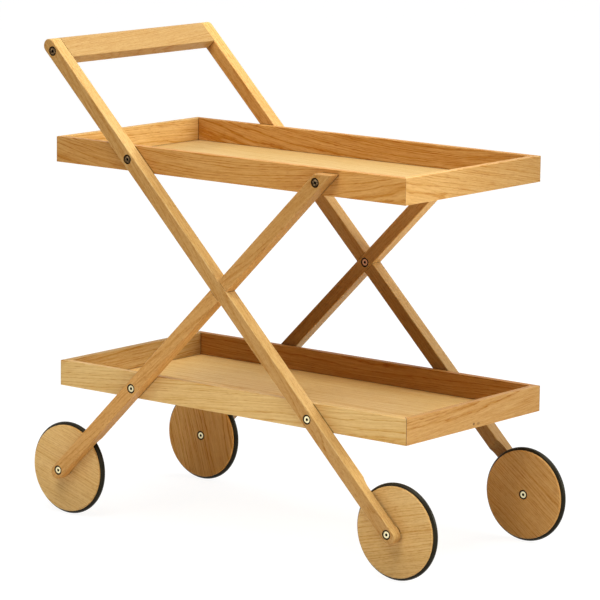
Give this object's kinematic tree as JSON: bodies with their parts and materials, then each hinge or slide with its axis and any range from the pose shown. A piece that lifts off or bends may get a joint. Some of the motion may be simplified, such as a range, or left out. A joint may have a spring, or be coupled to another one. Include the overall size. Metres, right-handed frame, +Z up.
{
  "type": "serving trolley",
  "caption": "Wooden serving trolley: shallow trays bolted between crossed legs, a bar handle at one end and plain disc wheels with ring tyres.",
  "frame": {"origin": "on the floor under the crossing of the legs, midway between the side frames; also the middle of the box at its base", "axes": "+X along the trays away from the handle, +Y to the left of someone pushing, +Z up"},
  "size_m": [0.8888, 0.429, 0.8411],
  "materials": {
    "oak_solid": "oiled oak, satin",
    "oak_panel": "oiled oak veneer panel, satin",
    "rubber": "smooth black rubber",
    "brass": "brass-plated, slightly aged"
  },
  "bodies": {
    "frame": {"axle_sleeve_front_left": "brass", "axle_sleeve_front_right": "brass", "axle_sleeve_rear_left": "brass", "axle_sleeve_rear_right": "brass", "crossing_bolts": "brass", "crossing_inserts": "brass", "handle_bar": "oak_solid", "handle_bolts": "brass", "handle_inserts": "brass", "long_leg_left": "oak_solid", "long_leg_right": "oak_solid", "lower_tray_base": "oak_panel", "lower_tray_bolts": "brass", "lower_tray_front_wall": "oak_solid", "lower_tray_inserts": "brass", "lower_tray_left_wall": "oak_solid", "lower_tray_rear_wall": "oak_solid", "lower_tray_right_wall": "oak_solid", "short_leg_left": "oak_solid", "short_leg_right": "oak_solid", "upper_tray_base": "oak_panel", "upper_tray_bolts": "brass", "upper_tray_front_wall": "oak_solid", "upper_tray_inserts": "brass", "upper_tray_left_wall": "oak_solid", "upper_tray_rear_wall": "oak_solid", "upper_tray_right_wall": "oak_solid", "wheel_bolts": "brass", "wheel_washers": "brass"},
    "front_left_wheel": {"wheel_front_left": "oak_solid", "tyre_front_left": "rubber"},
    "front_right_wheel": {"wheel_front_right": "oak_solid", "tyre_front_right": "rubber"},
    "rear_left_wheel": {"wheel_rear_left": "oak_solid", "tyre_rear_left": "rubber"},
    "rear_right_wheel": {"wheel_rear_right": "oak_solid", "tyre_rear_right": "rubber"}
  },
  "joints": [
    {"name": "front_left_wheel_spin", "type": "hinge", "parent": "frame", "child": "front_left_wheel", "pos_m": [0.36239, 0.18375, 0.082], "axis": [0, 1, 0], "continuous": true},
    {"name": "front_right_wheel_spin", "type": "hinge", "parent": "frame", "child": "front_right_wheel", "pos_m": [0.36239, -0.18375, 0.082], "axis": [0, 1, 0], "continuous": true},
    {"name": "rear_left_wheel_spin", "type": "hinge", "parent": "frame", "child": "rear_left_wheel", "pos_m": [-0.36239, 0.18375, 0.082], "axis": [0, 1, 0], "continuous": true},
    {"name": "rear_right_wheel_spin", "type": "hinge", "parent": "frame", "child": "rear_right_wheel", "pos_m": [-0.36239, -0.18375, 0.082], "axis": [0, 1, 0], "continuous": true}
  ]
}
